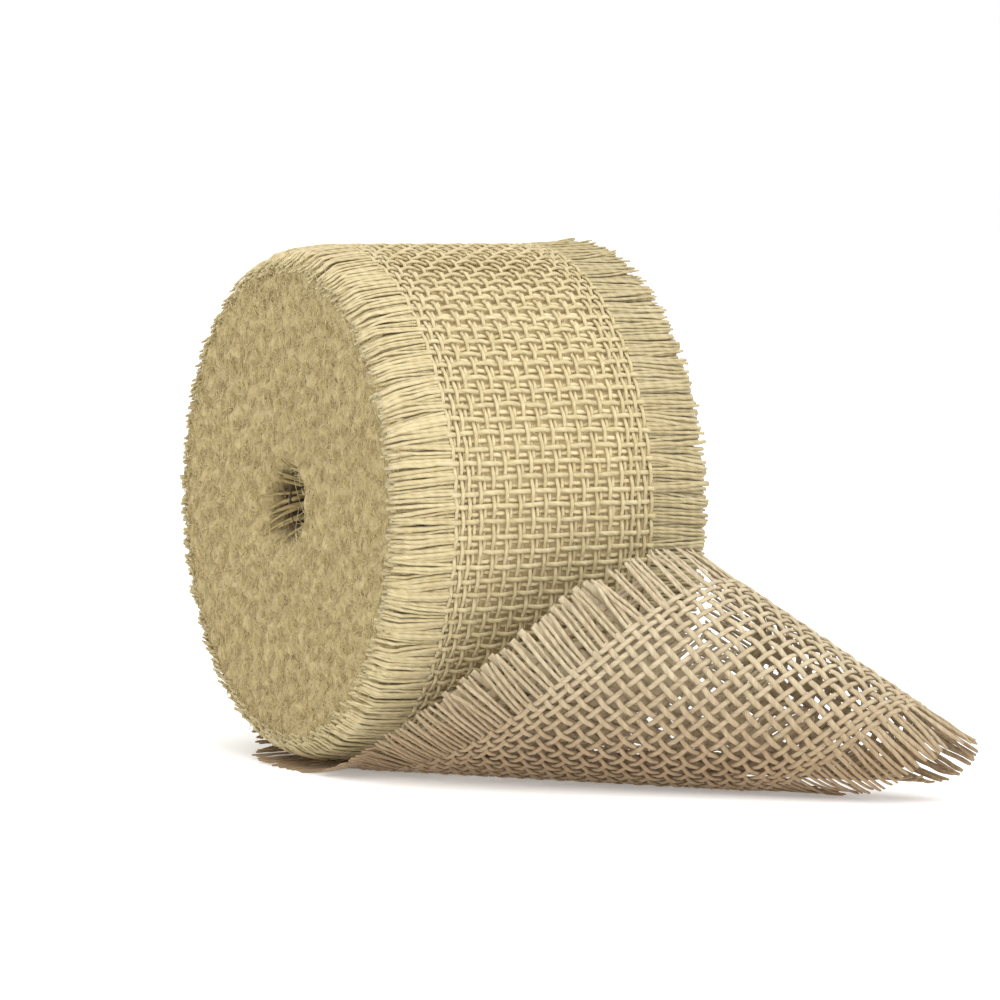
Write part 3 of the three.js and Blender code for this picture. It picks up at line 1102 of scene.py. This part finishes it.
def core_fringe(rng, cloth, sizes):
    """The innermost turn's weft ends, which run up the wall of the hole and open over its mouth."""
    strands = Strands()
    share = np.linspace(0, 1, 16)
    plies = 2
    ply_turn = 0.08
    swept = 0.22
    gathered = 0.55
    thickest = 1.0e-3
    over_felt = 0.0002
    pitch = FULL_TURN * CROWN_RADIUS / cloth.wefts_per_turn
    wefts = int(FULL_TURN * sizes.core_radius / pitch)
    for side in (NEAR, FAR):
        total = wefts * plies
        angle = np.arange(wefts).repeat(plies)[:, None] / wefts * FULL_TURN
        angle = angle + np.tile([-ply_turn, ply_turn], wefts)[:, None] + rng.normal(0, 0.03, (total, 1))
        lean = clumps(rng, wefts, 3).repeat(plies)[:, None] * FULL_TURN / wefts
        angle = angle + (swept + gathered * lean + rng.normal(0, 0.07, (total, 1))) * share**1.2
        tip = rng.uniform(-0.0003, 0.0024, (total, 1))
        spare = 0.5 * (mouth_reach(angle, sizes) - sizes.mouth_width)
        depth = (FRINGE_LENGTH - spare) * (1 - share) + tip * share
        standing = rng.uniform(0.0002, 0.0014, wefts).repeat(plies)[:, None]
        drift = sway(rng, total, share * 0.8, 3, 0.2e-3) * share
        radius = mouth_radius(depth, angle, sizes) - standing + drift
        y = side * (HALF_WIDTH - sizes.felt_back + over_felt - depth)
        paths = place(radius * np.sin(angle), y, AXIS_HEIGHT - radius * np.cos(angle))
        towards_axis = place(-np.sin(angle), np.zeros_like(radius), np.cos(angle))
        width = thickest * (1 - 0.45 * ease(share, 0.5, 1.0)) * rng.uniform(0.7, 1.15, (total, 1))
        strands.add(paths, towards_axis, width, width * 0.6, 5)
    return strands


def stray_hairs(rng, sizes):
    """Fine loose fibres that stand off the roll, over both the cloth and its near end."""
    strands = Strands()
    share = np.linspace(0, 1, 9)
    total = 150
    shortest = 0.003
    longest = 0.009
    width = 0.09e-3
    highest = 0.0012
    rim_droop = 0.002
    off_hole = 0.010
    off_rim = 0.004
    over_felt = 0.0002
    turn = rng.uniform(0, FULL_TURN, (total, 1))
    length = rng.uniform(shortest, longest, (total, 1))
    curl = rng.normal(0, 0.9, (total, 1)) * share
    heading = rng.uniform(0, FULL_TURN, (total, 1)) + curl
    run = np.cumsum(np.cos(heading), 1) * length / len(share)
    drift = np.cumsum(np.sin(heading), 1) * length / len(share)
    across = rng.uniform(-HALF_WIDTH, HALF_WIDTH * 0.9, (total, 1)) + drift
    across = np.clip(across, -HALF_WIDTH, HALF_WIDTH)
    standing = highest * np.sin(math.pi * share) * rng.uniform(0.4, 1.2, (total, 1))
    droop = rim_droop * ease(-across, HALF_BAND, HALF_WIDTH)
    around = CROWN_RADIUS * turn + run
    lay(strands, RollMap(CROWN_RADIUS), around, across, standing - droop, width, width, 3)
    radius = rng.uniform(off_hole, CROWN_RADIUS - off_rim, (total, 1)) + run
    angle = turn + drift / radius
    level = -(HALF_WIDTH - sizes.felt_back + over_felt + 0.6 * standing)
    paths = place(radius * np.sin(angle), level, AXIS_HEIGHT - radius * np.cos(angle))
    strands.add(paths, askew(NEAR, paths), width, width, 3)
    return strands


def tail_wefts(cloth, tail, rng):
    pitch = FULL_TURN * (CROWN_RADIUS - height_of_cloth(cloth)) / cloth.wefts_per_turn
    count = int((tail.end - tail.start - cloth.raveled) / pitch)
    bare_start = 0.0005
    first = tail.start + bare_start
    return uneven_places(rng, count, first, first + count * pitch, WEFT_JITTER)


def swung(points, turn):
    """Points turned about the curl's joint."""
    pivot = np.array(CURL_JOINT["pos_m"])
    hinge = np.array(CURL_JOINT["axis"])
    offset = points - pivot
    level = (offset @ hinge)[..., None] * hinge
    return pivot + level + (offset - level) * math.cos(turn) + np.cross(hinge, offset) * math.sin(turn)


def off_the_roll(tail, flare):
    """Bounds the height of threads so that they clear the roll at both ends of the curl's lift."""
    centre = np.array([0.0, 0.0, AXIS_HEIGHT])
    lowest = 0.0003
    most_inward = 0.0024
    most_outward = 0.012

    def bound(along, across, height):
        past = ease(along - tail.crease_at(across), -0.002, 0.004)[..., None]
        for limit in CURL_JOINT["range_deg"]:
            lift = math.radians(limit)
            points = tail(along, across, height)
            deeper = tail(along, across, height + HEIGHT_STEP)
            points = points + past * (swung(points, lift) - points)
            deeper = deeper + past * (swung(deeper, lift) - deeper)
            offset = (points - centre) * np.array([1.0, 0.0, 1.0])
            room = tail.sizes.roll_clearance + flare * ease(points[..., 1], HALF_BAND, HALF_WIDTH)
            gap = CROWN_RADIUS + room - np.linalg.norm(offset, axis=-1)
            facing = (unit(deeper - points) * unit(offset)).sum(-1)
            steep = np.where(np.abs(facing) > 0.2, facing, np.inf)
            height = height + np.clip(np.maximum(gap, 0) / steep, -most_outward, most_inward)
        return height + np.maximum(lowest - tail(along, across, height)[..., 2], 0)

    return bound


def across_crease(piece, tail):
    """Bakes the piece's place into its mesh. The cloth is not split at the crease."""
    forward = np.array([math.sin(tail.heading), -math.cos(tail.heading), 1.5])
    forward = forward / np.linalg.norm(forward)
    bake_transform(piece)


class RIBBON_OT_tail(bpy.types.Operator):
    """Weave the loose tail and its curled end, with both fringes and the raveled cut end"""

    bl_idname = "ribbon.tail"
    bl_label = "Tail and curl"

    def execute(self, context):
        cloth = context.scene.ribbon_cloth
        tail = TailMap(context.scene.ribbon_tail)
        middle = height_of_cloth(cloth)
        rng = np.random.default_rng(71)
        wefts = tail_wefts(cloth, tail, rng)
        strands = Strands()
        span = (tail.start, tail.end)
        woven(
            strands, cloth, tail, wefts, span, rng, (300, 60, 6), middle=middle, swell=tail.swell_at)
        weave = strands.piece("tail_weave", finish_of("tail_yarn_painted_shade"))
        for side, word, seed in ((NEAR, "near", 72), (FAR, "far", 73)):
            strands = Strands()
            shape = FringeShape(
                middle=middle, plies=2, width=cloth.ply_width * 1.05, shortest=0.93, comb=0.3e-3,
                slant=0.7e-3, gather=0.22, splay=0.14e-3, lift=0.22e-3)
            bound = off_the_roll(tail, context.scene.ribbon_roll.far_flare)
            shares = 0.2 + 0.8 * ease(wefts, tail.start, tail.start + tail.sizes.hug_length)
            fringe_strands(
                strands, tail, wefts, side, np.random.default_rng(seed), shape, bound, shares)
            fringe = strands.piece(f"tail_{word}_fringe_threads", finish_of("tail_yarn_painted_shade"))
            across_crease(fringe, tail)
            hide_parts(f"tail_{word}_fringe", f"curl_{word}_fringe")
        across_crease(weave, tail)
        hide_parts("tail_band", "curl_band")
        flat = (2 * HALF_BAND, tail.end - tail.start)
        return {"FINISHED"}


class RIBBON_OT_hairs(bpy.types.Operator):
    """Scatter a few loose fibres over the roll"""

    bl_idname = "ribbon.hairs"
    bl_label = "Stray hairs"

    def execute(self, context):
        hairs = stray_hairs(np.random.default_rng(81), context.scene.ribbon_roll)
        piece = hairs.piece("stray_hairs", finish_of("cut_fibre"))
        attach(piece, "roll")
        return {"FINISHED"}


class RIBBON_OT_stage(bpy.types.Operator):
    """Set the pale floor, the soft light and the camera"""

    bl_idname = "ribbon.stage"
    bl_label = "Floor, light and camera"

    def execute(self, context):
        scene = context.scene
        look = scene.ribbon_stage
        scene.view_settings.view_transform = "Standard"
        floor_finish = Finish("floor_white", 0.9)
        floor_finish.shader.inputs["Base Color"].default_value = opaque(look.floor)
        floor_finish.shader.inputs["Emission Color"].default_value = opaque(look.floor)
        floor_finish.shader.inputs["Emission Strength"].default_value = look.floor_glow
        half = look.floor_size / 2
        mesh = bpy.data.meshes.new("floor")
        mesh.from_pydata([(-half, -half, 0), (half, -half, 0), (half, half, 0), (-half, half, 0)], [],
                         [(0, 1, 2, 3)])
        mesh.materials.append(floor_finish.material)
        floor = bpy.data.objects.new("floor", mesh)
        scene.collection.objects.link(floor)
        self.add_light(scene, look)
        self.add_camera(scene, look)
        return {"FINISHED"}

    def add_light(self, scene, look):
        world = bpy.data.worlds.new("white_surroundings")
        scene.world = world
        world.use_nodes = True
        nodes = world.node_tree.nodes
        links = world.node_tree.links
        background = nodes["Background"]
        background.inputs["Color"].default_value = (1.0, 1.0, 1.0, 1.0)
        seen = nodes.new("ShaderNodeLightPath")
        strength = nodes.new("ShaderNodeMapRange")
        strength.inputs["To Min"].default_value = look.ambient
        strength.inputs["To Max"].default_value = 1.0
        links.new(seen.outputs["Is Camera Ray"], strength.inputs["Value"])
        links.new(strength.outputs[0], background.inputs["Strength"])
        key = bpy.data.lights.new("high_soft_light", "SUN")
        key.energy = look.key
        key.angle = look.key_spread
        lamp = bpy.data.objects.new("high_soft_light", key)
        scene.collection.objects.link(lamp)
        lamp.rotation_euler = (math.pi / 2 - look.key_elevation, 0.0, look.key_azimuth)

    def add_camera(self, scene, look):
        forward = np.array([
            -math.sin(look.azimuth) * math.cos(look.elevation),
            math.cos(look.azimuth) * math.cos(look.elevation),
            -math.sin(look.elevation),
        ])
        right = np.array([math.cos(look.azimuth), math.sin(look.azimuth), 0.0])
        upward = np.cross(right, forward)
        centre = np.array([0.0, 0.0, AXIS_HEIGHT])
        aim = centre + look.aim_right * right + look.aim_up * upward
        camera = bpy.data.objects.new("camera", bpy.data.cameras.new("camera"))
        camera.location = aim - look.distance * forward
        camera.rotation_euler = (math.pi / 2 - look.elevation, 0.0, look.azimuth)
        camera.data.lens = look.lens
        camera.data.sensor_width = 36.0
        camera.data.clip_start = 0.01
        camera.data.clip_end = 200.0
        scene.collection.objects.link(camera)
        scene.camera = camera


OPERATORS = (
    RIBBON_OT_stage,
    RIBBON_OT_under_turns,
    RIBBON_OT_outer_turn,
    RIBBON_OT_fringes,
    RIBBON_OT_matted_ends,
    RIBBON_OT_core,
    RIBBON_OT_tail,
    RIBBON_OT_hairs,
)


class RIBBON_PT_panel(bpy.types.Panel):
    """Lists the pieces of the roll"""

    bl_idname = "RIBBON_PT_panel"
    bl_label = "Ribbon roll"
    bl_space_type = "VIEW_3D"
    bl_region_type = "UI"
    bl_category = "Ribbon Roll"

    def draw(self, context):
        for operator in OPERATORS:
            self.layout.operator(operator.bl_idname)
        for name, group in PROPERTY_GROUPS.items():
            box = self.layout.box()
            for prop in group.__annotations__:
                box.prop(getattr(context.scene, name), prop)


def register():
    for group in PROPERTY_GROUPS.values():
        bpy.utils.register_class(group)
    for name, group in PROPERTY_GROUPS.items():
        setattr(bpy.types.Scene, name, PointerProperty(type=group))
    for operator in OPERATORS:
        bpy.utils.register_class(operator)
    bpy.utils.register_class(RIBBON_PT_panel)


def unregister():
    bpy.utils.unregister_class(RIBBON_PT_panel)
    for operator in reversed(OPERATORS):
        bpy.utils.unregister_class(operator)
    for name in PROPERTY_GROUPS:
        delattr(bpy.types.Scene, name)
    for group in reversed(list(PROPERTY_GROUPS.values())):
        bpy.utils.unregister_class(group)


def main():
    register()
    for operator in OPERATORS:
        family, name = operator.bl_idname.split(".")
        getattr(getattr(bpy.ops, family), name)()


if __name__ == "__main__":
    main()
